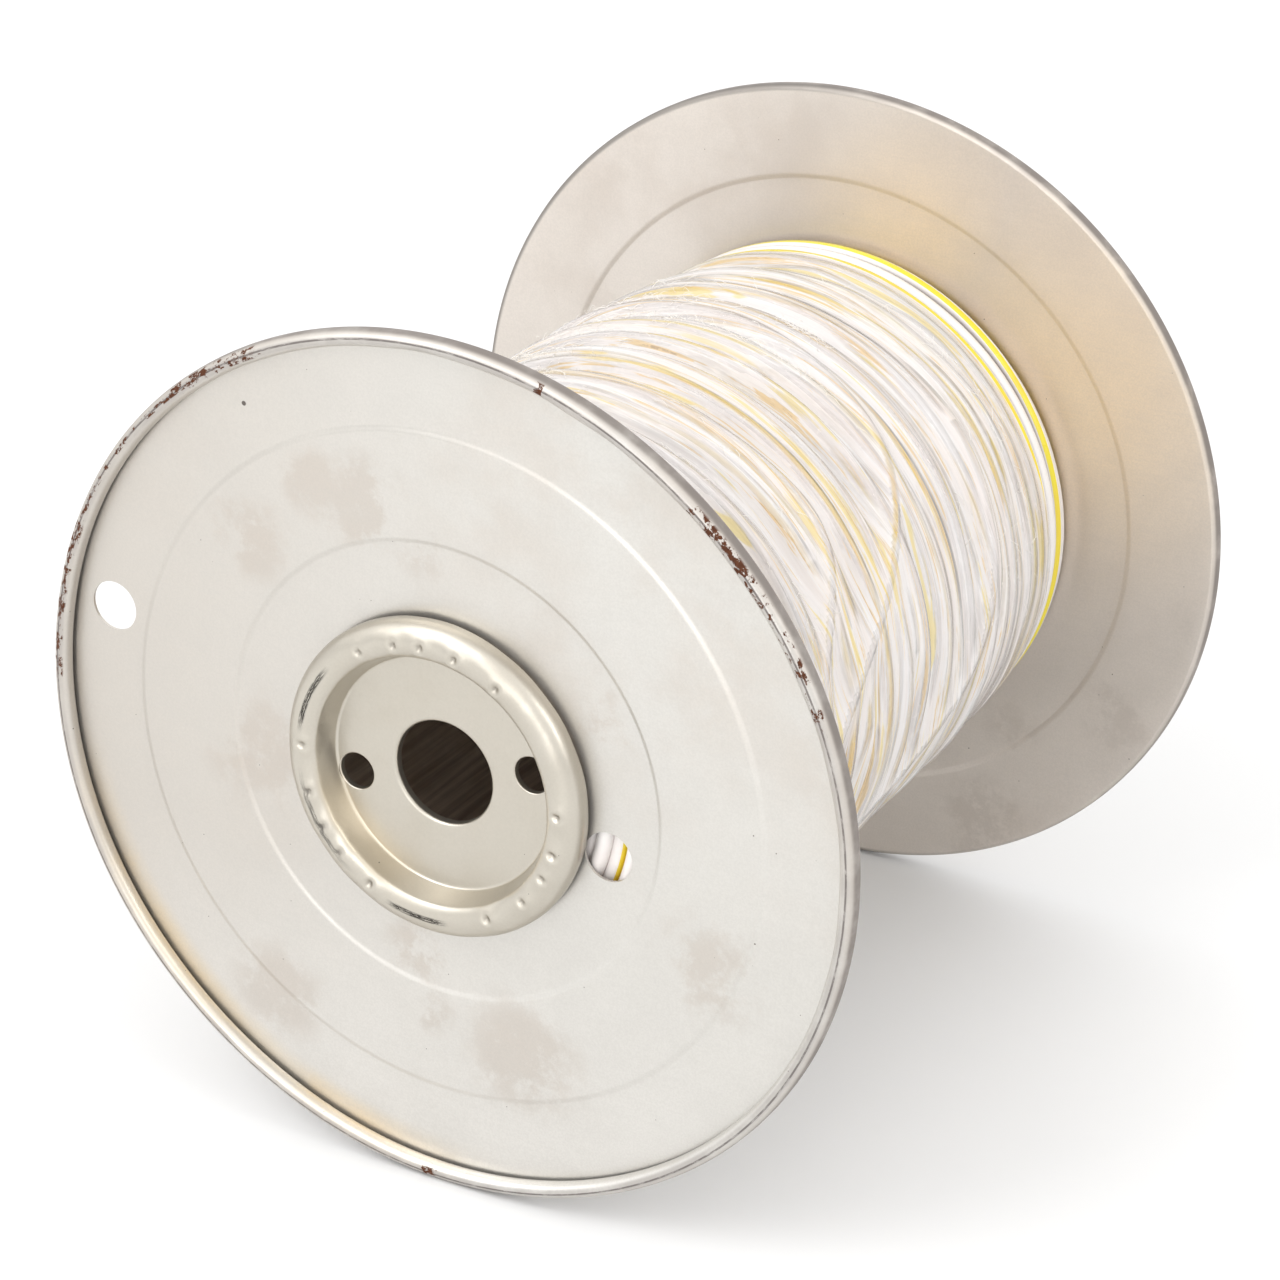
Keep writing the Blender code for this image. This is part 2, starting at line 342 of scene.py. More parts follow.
def make_hub_cap(name, node, side, material):
    seed = 5 if side < 0 else 8
    rng = np.random.default_rng(seed)
    stakes = [math.radians(FIRST_STAKE_DEG + 120 * g + d) for g in range(3) for d in STAKES_DEG]

    def shape(r, h, a):
        """Each stake is a pit with a raised ridge round it; the lip is a little wavy."""
        for stake in stakes:
            depth = 1.7 * MM * rng.uniform(0.75, 1.1)
            along = turned_away(a, stake) * LIP_CREST_RADIUS
            across = r - STAKE_RADIUS
            top = h > END_PLANE + 4 * MM
            pit = np.exp(-((along / (1.3 * MM)) ** 2 + (across / (1.6 * MM)) ** 2))
            ridge = np.exp(-((along / (3.0 * MM)) ** 2 + (across / (2.8 * MM)) ** 2))
            h = h + top * (0.85 * MM * ridge - depth * pit)
        lip = np.clip((r - 38 * MM) / (6 * MM), 0, 1)
        h = h + lip * 0.12 * MM * bump_field(a, seed, 14, 3, 24)
        return r, h

    outline = sheet_outline(hub_cap_path(), SHEET)
    cap = add_object(name, turned(name, outline, 480, side, shape), material)

    # each drive hole has a short collar behind it
    turn_in, below, deep = 0.5 * MM, 0.02 * MM, 2 * MM
    back = DRIVE_HOLE_RADIUS + SHEET
    ring = [(back, -below), (back, -deep), (DRIVE_HOLE_RADIUS, -deep)]
    ring += arc((DRIVE_HOLE_RADIUS + turn_in, -turn_in - below), (turn_in, turn_in), 180, 90, 6)
    offset = DRIVE_HOLE[0]
    for angle in (DRIVE_HOLE[1], DRIVE_HOLE[1] + math.pi):
        drill(cap, DRIVE_HOLE_RADIUS + 0.4 * MM, offset, angle, WEB - 0.5 * MM, side)
        collar = turned("collar", np.array(ring) + [0, WEB], 64, side)
        collar.transform(Matrix.Translation(end_point(offset, angle, 0, side)))
        boolean(cap, collar, "UNION")
    cap.data.set_sharp_from_angle(angle=SHARP)
    finish_piece(cap, node)


def make_barrel(material):
    """A tube with flared ends, and a lock seam that stands proud of its inside."""
    seat = FACE + 0.3 * MM
    bend = 0.5 * MM
    upper = [(FLARE_RADIUS, seat), (BARREL_RADIUS + bend, seat), (BARREL_RADIUS, seat - bend)]
    inner = BARREL_RADIUS - SHEET
    top = [(inner, seat + SHEET - bend), (inner + bend, seat + SHEET), (FLARE_RADIUS, seat + SHEET)]
    half = upper + dense([upper[-1], (BARREL_RADIUS, 0)], 12 * MM)[1:]
    back = dense([(inner, 0), top[0]], 12 * MM) + top[1:]
    outline = half + [(r, -z) for r, z in half[-2::-1]] + [(r, -z) for r, z in back[::-1]] + back[1:]
    seam = math.radians(SEAM_DEG)

    def shape(r, h, a):
        away = np.abs(turned_away(a, seam)) * inner
        lap = np.clip((3 * MM - away) / (0.4 * MM), 0, 1)
        inside = (r < BARREL_RADIUS - 0.5 * SHEET) & (np.abs(h) < seat - bend)
        ripple = 0.05 * MM * bump_field(a, 31, 12, 3, 30)
        return r - inside * (lap * 0.8 * MM) - inside * np.abs(ripple), h

    barrel = add_object("barrel_tube", turned("barrel_tube", np.array(outline), 256, -1, shape), material)
    barrel.data.set_sharp_from_angle(angle=SHARP)
    finish_piece(barrel, "barrel")


# ======== the wound wire
def winding_radius(y):
    """Outer radius that the wound wire fills to, along the axis."""
    at = np.array([-119, -100, -60, 0, 35, 83, 100, 119]) * MM
    radius = np.array([85.4, 86.6, 87.6, 88.3, 88.0, 86.0, 84.6, 83.4]) * MM
    return np.interp(y, at, radius)


def wander(count, step, size, seed):
    """Smooth random numbers along a length of wire; step is how many points each bend takes."""
    rng = np.random.default_rng(seed)
    knots = rng.normal(size=count // step + 4) * size
    x = np.arange(count) / step
    i = x.astype(int)
    t = (1 - np.cos((x - i) * math.pi)) / 2
    return knots[i] * (1 - t) + knots[i + 1] * t


def bed_radius(y):
    """The middle of the last tidy layer: two more passes lie on it, but only one on the bare end."""
    return winding_radius(y) - np.interp(y, np.array([93, 99]) * MM, [BED_DEPTH, BARE_BED_DEPTH])


def wire_bed():
    """The top of the tidy layers beneath, which the visible turns lie on."""
    turn = np.arange(COLUMNS)[:, None] / COLUMNS
    away = (ROW_Y + turn * PITCH) % PITCH - PITCH / 2
    return bed_radius(ROW_Y) + np.sqrt(np.maximum(WIRE**2 - away**2, 0))


def lay(surface, path, first=0):
    """Lays a length of wire on the surface, starting at column first, and gives its centre's radius.

    Each stretch rests on what is under it, and is pulled straight between its high points.
    """
    count = len(path)
    spacing = TURN * 84 * MM / COLUMNS
    lean = 1 / np.sqrt(1 + (np.gradient(path) / spacing) ** 2)
    span = int(2.6 * WIRE / ROW)
    offsets = np.arange(-span, span + 1)
    centre = np.zeros(count)
    for start in range(0, count, STRETCH):
        stop = min(start + STRETCH, count)
        at = np.arange(start, min(stop + AHEAD, count))
        column = (first + at) % COLUMNS
        rows = np.rint((path[at] + WINDING_END) / ROW).astype(int)[:, None] + offsets
        rows = np.clip(rows, 0, ROWS - 1)
        away = (rows * ROW - WINDING_END - path[at][:, None]) * lean[at][:, None]
        half = np.sqrt(np.maximum(WIRE**2 - away**2, 0))
        here = surface[column[:, None], rows]
        rest = np.where(half > 0, here + half, 0).max(axis=1)
        tail = centre[max(0, start - AHEAD):start]
        floor = np.concatenate([tail, rest])
        r = floor.copy()
        for _ in range(PULLS):
            r[1:-1] = np.maximum(floor[1:-1], (r[:-2] + r[2:]) / 2 * CHORD)
            r[:len(tail)] = tail
        r = np.maximum(smooth_length(r, 3), floor - 0.25 * MM)
        r[:len(tail)] = tail
        done = stop - start
        full = winding_radius(path[start:stop]) - WIRE
        r = r[len(tail):len(tail) + done]
        centre[start:stop] = np.where(r > full, full + (r - full) * PRESSED, r)
        new = np.where(half[:done] > 0, centre[start:stop][:, None] + half[:done], 0)
        spot = (column[:done, None], rows[:done])
        surface[spot] = np.maximum(surface[spot], new)
    return centre


def bell(width):
    """Offsets either way, and a bell curve's weight for each."""
    offsets = np.arange(-3 * width, 3 * width + 1)
    weights = np.exp(-0.5 * (offsets / width) ** 2)
    return offsets, weights / weights.sum()


def smooth_round(values, width):
    return sum(w * np.roll(values, o, axis=0) for o, w in zip(*bell(width)))


def smooth_length(values, width):
    return np.convolve(np.pad(values, 3 * width, mode="edge"), bell(width)[1], mode="valid")


def tube(y, radius, first_angle, twist, closed=False, step=TUBE_STEP):
    """A wire's points, faces, stripe faces, end caps and how much painted shade, with some dust, it takes
    in the dips between turns.

    Its first two corners bound the stripe.
    """
    y, radius, twist = y[::step], radius[::step], twist[::step]
    n = len(y)
    a = first_angle + TURN * np.arange(n) * step / COLUMNS
    centre = np.stack([radius * np.cos(a), y, radius * np.sin(a)], axis=-1)
    if closed:
        ahead = np.roll(centre, -1, axis=0) - np.roll(centre, 1, axis=0)
    else:
        ahead = np.gradient(centre, axis=0)
    ahead /= np.linalg.norm(ahead, axis=1)[:, None]
    out = np.stack([np.cos(a), 0 * a, np.sin(a)], axis=-1)
    out -= ahead * (out * ahead).sum(axis=1)[:, None]
    out /= np.linalg.norm(out, axis=1)[:, None]
    side = np.cross(out, ahead)
    plain = STRIPE_DEG + (360 - 2 * STRIPE_DEG) / (SIDES - 1) * np.arange(1, SIDES - 1)
    corners = np.radians(np.concatenate([[-STRIPE_DEG, STRIPE_DEG], plain]))
    turn = corners + twist[:, None]
    ring = np.cos(turn)[..., None] * out[:, None, :] + np.sin(turn)[..., None] * side[:, None, :]
    points = centre[:, None, :] + WIRE * ring
    quads = grid_quads(n, SIDES, closed, True)
    striped = np.zeros(len(quads), int)
    striped[::SIDES] = 1
    # painted shade with some dust on the wire's flanks and underside, none on the closed rings
    crevice_shade_and_dust = np.clip((0.5 - np.cos(turn)) / 0.3, 0, 1).ravel() * (not closed)
    ends = () if closed else (list(range(SIDES)), list(range((n - 1) * SIDES, n * SIDES))[::-1])
    return points.reshape(-1, 3), quads, striped, ends, crevice_shade_and_dust


def loose_strand(surface, degrees, rest, seed):
    """A length of wire that crosses over the tidy turns; both ends dive in among them."""
    first = int(degrees[0] / 360 * COLUMNS)
    count = int((degrees[-1] - degrees[0]) / 360 * COLUMNS)
    at = degrees[0] + np.arange(count) * 360 / COLUMNS
    y = smooth_length(np.interp(at, degrees, np.array(rest) * MM), 8)
    radius = lay(surface, y, first)
    from_end = np.minimum(np.arange(count), count - 1 - np.arange(count))
    dive = np.clip(1 - from_end / 16, 0, 1) ** 2 * 7 * MM
    twist = wander(count, 60, 1.6, seed) + 2.9
    return tube(y, smooth_length(radius, 2) - dive, TURN * first / COLUMNS, twist, step=1)


def stripe_outwards(twist):
    """Turns the wire so that its stripe lies outwards more often than not."""
    return twist - 0.65 * np.sin(twist - 0.3)


def bare_twist(twist, count):
    """Where the stripe lies along the last four turns, which the film leaves bare."""
    before_end = (count - np.arange(count)) / COLUMNS
    degrees = HIDDEN / COLUMNS * 360 - before_end * 360
    turns = (
        ([-505, -45 - 360, 30 - 360, 70 - 360, 110 - 360, -145], [3.9, 3.9, 3.6, 3.9, 4.2, 3.8]),
        ([-145, -45, 30, 70, 110, 215], [0.55, 0.55, 0.5, 0.3, -0.05, -0.2]),
    )
    for at, value in turns:
        inside = np.clip((degrees - at[0]) / 12, 0, 1) * (degrees <= at[-1] + 0.5)
        twist = twist * (1 - inside) + inside * np.interp(degrees, at, value)
    third = np.array([-865, -780, -755, -700, -650, -630, -505])
    inside = (degrees > third[0]) & (degrees < third[-1])
    return np.where(inside, np.interp(degrees, third, [4.0, 3.2, 1.4, 0.25, 0.1, -0.2, 2.6]), twist)


def lay_pass(surface, y, twist):
    return tube(y, smooth_length(lay(surface, y, HIDDEN), 2), HIDDEN_ANGLE, twist)


def first_pass(surface):
    """Front to rear: each turn wanders across its neighbours, and the last ones are tidy."""
    n = FIRST_TURNS * COLUMNS
    along = np.linspace(-WIRE_END, WIRE_END, n)
    free = np.clip((80 * MM - np.abs(along)) / (40 * MM), 0, 1)
    y = np.clip(along + free * wander(n, 150, 1.6 * MM, 3), -WIRE_END, WIRE_END)
    y = smooth_length(y, 2)
    before_end = (n - np.arange(n)) / COLUMNS
    last_gap = 1.5 * MM
    y -= last_gap * np.clip((before_end - 0.92) / 0.08, 0, 1) * np.clip((10 - before_end) / 4, 0, 1)
    twist = wander(n, 130, 2.1, 4) + np.arange(n) / COLUMNS * 2.3
    return lay_pass(surface, y, bare_twist(stripe_outwards(twist), n))


def second_pass(surface):
    """Rear to front, more open, so that the first pass shows between its turns."""
    n = SECOND_TURNS * COLUMNS
    along = np.linspace(SECOND_START, -WIRE_END, n)
    free = np.interp(along, np.array([-116, -90, -60, 10, 40, 80, 97]) * MM, [0.1, 0.7, 1, 1, 0.4, 0.25, 0])
    y = smooth_length(np.clip(along + free * wander(n, 170, 3.4 * MM, 15), -WIRE_END, 98 * MM), 2)
    return lay_pass(surface, y, stripe_outwards(wander(n, 130, 2.1, 9) - np.arange(n) / COLUMNS * 1.9))


def end_rings():
    """The turns against each flange, which the start holes show."""
    rings = []
    rng = np.random.default_rng(12)
    a = np.linspace(0, TURN, COLUMNS, endpoint=False)
    for side in (-1, 1):
        for i in range(END_RINGS):
            centre = END_RING_RADIUS + END_RING_STEP * i
            wobble = 0.5 * MM * np.cos(a - rng.uniform(0, TURN))
            depth = (WINDING_END - WIRE - 0.1 * MM - (1.3 * MM if i % 2 == 0 else 0)
                     - 0.3 * MM * (1 + np.cos(2 * a + rng.uniform(0, 6))))
            twist = rng.uniform(0, 6.28) + 0.5 * np.sin(a)
            if side < 0 and i < 3:
                twist = 0.6 + (math.pi if i < 2 else 0) + 0 * a
            rings.append(tube(side * depth, centre + wobble, 0.0, twist, closed=True))
    return rings


def make_winding(white, yellow):
    """Makes all the visible wire, and gives the surface that it leaves for the film."""
    surface = wire_bed()
    parts = [first_pass(surface), second_pass(surface)]
    parts += [loose_strand(surface, *strand) for strand in STRANDS]
    parts += end_rings()

    points, quads, striped, caps, base = [], [], [], [], 0
    for p, q, s, ends, _ in parts:
        points.append(p)
        quads.append(q + base)
        striped.append(s)
        caps += [[v + base for v in e] for e in ends]
        base += len(p)
    mesh = quad_mesh("wound_wire", np.concatenate(points), np.concatenate(quads), caps)
    index = np.concatenate(striped + [np.zeros(len(caps), int)])
    wire = add_object("wound_wire", mesh, white, yellow)
    mesh.polygons.foreach_set("material_index", index)
    point_values(mesh, "crevice_shade_and_dust", np.concatenate([part[4] for part in parts]))
    point_outwards(mesh)
    finish_piece(wire, "wire_winding")
    make_packed_layers(white)
    return surface


def make_packed_layers(material):
    """A solid grooved ring for the layers under the visible turns."""
    y = np.linspace(-BED_END, BED_END, 160)
    hump = np.sqrt(np.maximum(WIRE**2 - ((y % PITCH) - PITCH / 2) ** 2, 0))
    inner = BARREL_RADIUS + 0.3 * MM
    outline = list(zip(bed_radius(y) - 0.8 * MM + hump, -y)) + [(inner, -BED_END), (inner, BED_END)]
    mesh = turned("wire_under_layers", np.array(outline), 96, -1)
    finish_piece(add_object("wire_under_layers", mesh, material), "wire_winding")


# ======== the stretch film
def film_over(surface):
    """The radius of a film pulled tight over the turns: it spans the dips both ways."""
    film = surface.copy()
    pulls = 60
    for _ in range(pulls):
        film = np.maximum(film, (np.roll(film, 1, axis=0) + np.roll(film, -1, axis=0)) / 2 * CHORD)
    for _ in range(pulls):
        film[:, 1:-1] = np.maximum(film[:, 1:-1], (film[:, 2:] + film[:, :-2]) / 2)
    for _ in range(3):
        film = smooth_round(film, 1)
        film[:, 1:-1] = (film[:, 2:] + 2 * film[:, 1:-1] + film[:, :-2]) / 4
    film = smooth_round(np.maximum(film, surface), 1)
    return np.maximum(film, surface - 0.15 * MM) + 0.3 * MM + folds()


def folds():
    """Narrow folds where the film gathers as it is pulled round."""
    rng = np.random.default_rng(77)
    height = np.zeros((COLUMNS, ROWS))
    for _ in range(90):
        first = rng.integers(0, COLUMNS)
        count = rng.integers(COLUMNS // 14, COLUMNS // 3)
        t = np.linspace(0, 1, count)
        middle = rng.uniform(-112, 98) * MM + rng.normal() * 7 * MM * (t - 0.5)
        middle = middle + rng.normal() * 2 * MM * np.sin(3 * t + rng.uniform(0, 6))
        width = rng.uniform(0.35, 0.7) * MM
        tall = rng.uniform(0.08, 0.34) * MM * np.sin(math.pi * t) ** 0.5
        fold = tall[:, None] * np.exp(-0.5 * ((ROW_Y - middle[:, None]) / width) ** 2)
        columns = (first + np.arange(count)) % COLUMNS
        height[columns] = np.maximum(height[columns], fold)
    return height


def make_frays(film, material):
    """Short shreds that stand up from the film, thin as hairs, where it has torn."""
    rng = np.random.default_rng(61)
    steps = 7
    t = np.linspace(0, 1, steps)
    section = [(1, 0), (-0.5, 0.9), (-0.5, -0.9)]
    size = steps * len(section)
    # each group: how many, angle and its spread in degrees, place along the axis and its spread in mm
    groups = (
        (260, 108, 9, -45, 22), (200, 112, 8, 10, 18), (120, 100, 10, 40, 16),
        (60, 92, 7, 23, 1.2), (55, 68, 8, 21, 1.2), (45, 73, 4, 41, 1.2), (40, 62, 12, -50, 14),
        (40, 40, 18, 84, 3.0), (30, 12, 12, 60, 12), (24, 47, 4, -66, 6), (24, 30, 6, -45, 8),
    )
    points, quads, base = [], [], 0
    for count, degrees, spread, middle, width in groups:
        for _ in range(count):
            a = math.radians(rng.normal(degrees, spread))
            y = np.clip(rng.normal(middle, width), -110, 99) * MM
            length = rng.uniform(2.0, 7.0) * MM
            heading = rng.normal(0, 0.45) + rng.normal() * 1.3 * t
            dy = np.cumsum(np.sin(heading)) * length / steps
            da = np.cumsum(np.cos(heading)) * length / steps / (85 * MM) * rng.choice((-1, 1))
            lift = rng.uniform(0.2, 2.0) * MM * np.sin(math.pi * t * rng.uniform(0.5, 1.0)) ** 1.5
            column = int(a / TURN * COLUMNS) % COLUMNS
            row = int((y + WINDING_END) / ROW)
            radius = film[column, row] + lift - 0.05 * MM
            angle = a + da
            centre = np.stack([radius * np.cos(angle), y + dy, radius * np.sin(angle)], axis=-1)
            out = np.stack([np.cos(angle), 0 * angle, np.sin(angle)], axis=-1)
            thick = rng.uniform(0.06, 0.14) * MM * (1 - 0.6 * t)[:, None]
            ring = [centre + thick * (u * out + v * np.array([0, 1.0, 0])) for u, v in section]
            points.append(np.stack(ring, axis=1).reshape(-1, 3))
            quads.append(grid_quads(steps, len(section), False, True) + base)
            base += size
    caps = []
    for first in range(0, base, size):
        last = first + size - 1
        caps += [[first, first + 1, first + 2], [last, last - 1, last - 2]]
    mesh = quad_mesh("film_shreds", np.concatenate(points), np.concatenate(quads), caps)
    point_outwards(mesh)
    shreds = add_object("film_shreds", mesh, material)
    finish_piece(shreds, "stretch_film")


def make_film(surface, film, material):
    """The film from the front flange to its uneven edge, just short of the last turns."""
    a = TURN * np.arange(COLUMNS) / COLUMNS
    edge = FILM_EDGE + 2.2 * MM * bump_field(a, 41, 9, 1, 8)
    first = 2
    count = int((FILM_EDGE + 8 * MM + WINDING_END) / ROW) - first
    share = np.linspace(0, 1, count)
    rows = first * ROW - WINDING_END + share * (edge[:, None] - first * ROW + WINDING_END)
    at = (rows + WINDING_END) / ROW
    low = at.astype(int)
    part = at - low
    c = np.arange(COLUMNS)[:, None]

    def sampled(values):
        return values[c, low] * (1 - part) + values[c, low + 1] * part

    radius = sampled(film)
    angle = a[:, None] + 0 * rows
    points = np.stack([radius * np.cos(angle), rows, radius * np.sin(angle)], axis=-1)
    mesh = quad_mesh("film_wrap", points, grid_quads(COLUMNS, count, True, False)[:, ::-1])
    point_values(mesh, "bridged", np.clip(sampled(film - surface) / (2.2 * MM), 0, 1).ravel())
    wrap = add_object("film_wrap", mesh, material)
    finish_piece(wrap, "stretch_film")


# ======== materials
# soft marks on the flanges, stains and a chip, and on the rear a painted warm reflection and painted shade:
# angle in degrees, distance from the axis and reach in mm, strength
FRONT_STAINS = ((117, 90.5, 18, 1.2), (107, 82, 24, 1.4), (137, 87, 24, 1.1), (95, 70, 20, 1.0),
                (-172, 63, 34, 1.0), (-99, 61, 20, 1.1), (-124, 106, 30, 0.9), (-73, 89, 34, 1.0),
                (-24, 96, 32, 0.9), (28, 60, 22, 0.9), (-94, 79, 14, 1.0))
FRONT_CHIP = ((122.5, 118.8, 1.2, 1.0),)
REAR_WARM_REFLECTION = ((30, 100, 85, 1.0), (75, 95, 50, 0.9))
REAR_PAINTED_SHADE = ((-62, 124, 30, 1.1), (-30, 118, 24, 1.0), (-48, 98, 20, 0.8))
# stretches of a rim: middle, half length and softness in degrees, strength
RUST_STRETCHES = ((122, 7, 5, 0.95), (44, 7, 3, 1.0), (168, 10, 10, 0.93), (-92, 1.0, 1.5, 1.0),
                  (74.2, 0.5, 0.3, 1.0), (28, 7, 6, 0.92))
SCUFF_STRETCHES = ((155, 9, 9, 1.0), (-96, 8, 7, 1.0), (-150, 6, 20, 0.75))


def dimmed(colour, share):
    return tuple(c * share for c in colour)


class Nodes:
    """Short calls for building one material."""

    def __init__(self, name):
        self.material = bpy.data.materials.new(name)
        self.material.use_nodes = True
        self.tree = self.material.node_tree
        self.tree.nodes.clear()
        self.place = self.add("TexCoord").outputs["Object"]
        split = self.add("SeparateXYZ", {0: self.place})
        self.x, self.y, self.z = split.outputs
        self.radius = self.length(self.x, self.z)
        self.angle = self.math("ARCTAN2", self.z, self.x)
        self.degrees = self.math("MULTIPLY", self.angle, math.degrees(1))

    def add(self, kind, inputs=None, **settings):
        node = self.tree.nodes.new("ShaderNode" + kind)
        for key, value in settings.items():
            setattr(node, key, value)
        for key, value in (inputs or {}).items():
            socket = node.inputs[key]
            if isinstance(value, bpy.types.NodeSocket):
                self.tree.links.new(value, socket)
            else:
                socket.default_value = value
        return node

    def math(self, operation, a, b=0.0, clamp=False):
        node = self.add("Math", {0: a, 1: b}, operation=operation, use_clamp=clamp)
        return node.outputs[0]

    def length(self, a, b):
        return self.math("SQRT", self.plus(self.times(a, a), self.times(b, b)))

    def attribute(self, name):
        return self.add("Attribute", attribute_name=name).outputs["Fac"]

    def stretched(self, x, y, z):
        node = self.add("VectorMath", {0: self.place, 1: (x, y, z)}, operation="MULTIPLY")
        return node.outputs[0]

    def noise(self, scale, detail=3.0, rough=0.5, vector=None, lean=0.0):
        node = self.add("TexNoise", {"Vector": vector or self.place, "Scale": scale, "Detail": detail,
                                     "Roughness": rough, "Distortion": lean})
        return node.outputs["Fac"]

    def drawn(self, around, along, detail, rough, lean=0.0):
        """Noise stretched one way: its counts per metre around the spool and along its axis."""
        return self.noise(1.0, detail, rough, self.stretched(around, along, around), lean)

    def swept(self, around, across, detail, rough):
        """Noise that follows the turning: its counts per radian and per metre outwards."""
        place = self.add("CombineXYZ", {0: self.times(self.angle, around),
                                        1: self.times(self.radius, across)})
        return self.noise(1.0, detail, rough, place.outputs[0])

    def between(self, value, low, high, to_low=0.0, to_high=1.0):
        """A soft change from to_low, where the value is at low, to to_high."""
        node = self.add("MapRange", {0: value, 1: low, 2: high, 3: to_low, 4: to_high},
                        interpolation_type="SMOOTHSTEP")
        return node.outputs[0]

    def near(self, value, middle, width, soft):
        """1 within width of the middle, 0 beyond width + soft."""
        away = self.math("ABSOLUTE", self.math("SUBTRACT", value, middle))
        return self.between(away, width + soft, width)

    def times(self, *values):
        total = values[0]
        for value in values[1:]:
            total = self.math("MULTIPLY", total, value)
        return total

    def plus(self, a, b, clamp=False):
        return self.math("ADD", a, b, clamp=clamp)

    def most(self, *values):
        total = values[0]
        for value in values[1:]:
            total = self.math("MAXIMUM", total, value)
        return total

    def mix(self, share, a, b):
        a, b = [(*value, 1) if isinstance(value, tuple) else value for value in (a, b)]
        return self.add("Mix", {0: share, 6: a, 7: b}, data_type="RGBA").outputs[2]

    def coat(self, colour, *shares):
        """Lays a colour over the base colour, as far as all the shares allow."""
        self.base = self.mix(self.times(*shares), self.base, colour)

    def specks(self, scale, size, share):
        """Small round dots in a share of the cells."""
        cell = self.add("TexVoronoi", {"Vector": self.place, "Scale": scale})
        pick = self.add("SeparateColor", {0: cell.outputs["Color"]}).outputs[0]
        dot = self.between(cell.outputs["Distance"], size, size * 0.6)
        return self.times(dot, self.math("LESS_THAN", pick, share))

    def spots(self, places):
        """Soft round marks on a flange, from a table of places."""
        marks = []
        for degrees, radius, reach, strength in places:
            a = math.radians(degrees)
            dx = self.math("SUBTRACT", self.x, radius * MM * math.cos(a))
            dz = self.math("SUBTRACT", self.z, radius * MM * math.sin(a))
            marks.append(self.between(self.length(dx, dz), reach * MM, 0.0, 0.0, strength))
        return self.most(*marks)

    def ragged(self, marks, scale):
        """The same marks, broken up by noise."""
        broken = self.between(self.noise(scale, 6, 0.75), 0.36, 0.62)
        return self.between(self.times(marks, broken), 0.12, 0.75)

    def stretches(self, places):
        """Parts of the way round, from a table of stretches."""
        return self.most(*[self.times(self.near(self.degrees, middle, half, soft), strength)
                           for middle, half, soft, strength in places])

    def faces_front(self):
        """1 on the surfaces that look towards -Y, 0 on the others."""
        normal = self.add("NewGeometry").outputs["Normal"]
        split = self.add("SeparateXYZ", {0: normal})
        return self.math("LESS_THAN", split.outputs[1], 0.0)

    def bump(self, height, distance, normal=None):
        inputs = {"Height": height, "Distance": distance, "Strength": 1.0}
        if normal:
            inputs["Normal"] = normal
        return self.add("Bump", inputs).outputs["Normal"]

    def surface(self, **inputs):
        """The finished material: the base colour with these inputs."""
        names = {key.replace("_", " "): value for key, value in inputs.items()}
        shader = self.add("BsdfPrincipled", {"Base Color": self.base, **names})
        return self.done(shader.outputs[0])

    def done(self, shader):
        out = self.add("OutputMaterial")
        self.tree.links.new(shader, out.inputs["Surface"])
        return self.material


def front_face(n, colour, blotch):
    """The front flange's face: painted shade to the left, painted light at the foot, stained here and
    there, and a painted warm reflection low on the left by the rim.
    """
    left_shade_colour = tuple(c * k for c, k in zip(colour, (0.885, 0.85, 0.82)))
    # painted shade: the face is greyer to the left
    n.coat(left_shade_colour, n.between(n.x, 60 * MM, -140 * MM))
    # painted light: the face is lighter at the foot
    n.coat((0.72, 0.70, 0.665), n.between(n.z, -30 * MM, -125 * MM, 0, 0.9))
    stains = n.ragged(n.spots(FRONT_STAINS), 38)
    n.coat((0.50, 0.435, 0.375), stains, n.faces_front(), 0.5)
    # painted warm reflection on the face near the rim, low on the left, broken up by the blotches
    warm_reflection = n.times(n.near(n.degrees, -128, 22, 26), n.near(n.radius, 127 * MM, 1.5 * MM, 6 * MM),
                      n.between(blotch, 0.35, 0.6, 0.25, 0.6))
    n.coat((0.72, 0.60, 0.42), warm_reflection)


def rear_face(n):
    """The rear flange's inner face: a painted warm reflection of the winding above it, and painted shade
    low on the right.
    """
    front_side = n.faces_front()
    # painted warm reflection of the winding on the inner face above it
    n.coat((0.91, 0.74, 0.52), n.spots(REAR_WARM_REFLECTION), front_side, 0.75)
    # painted shade low on the right of the inner face
    low_right_shade = n.ragged(n.spots(REAR_PAINTED_SHADE), 45)
    n.coat((0.40, 0.345, 0.30), low_right_shade, front_side, 0.28)


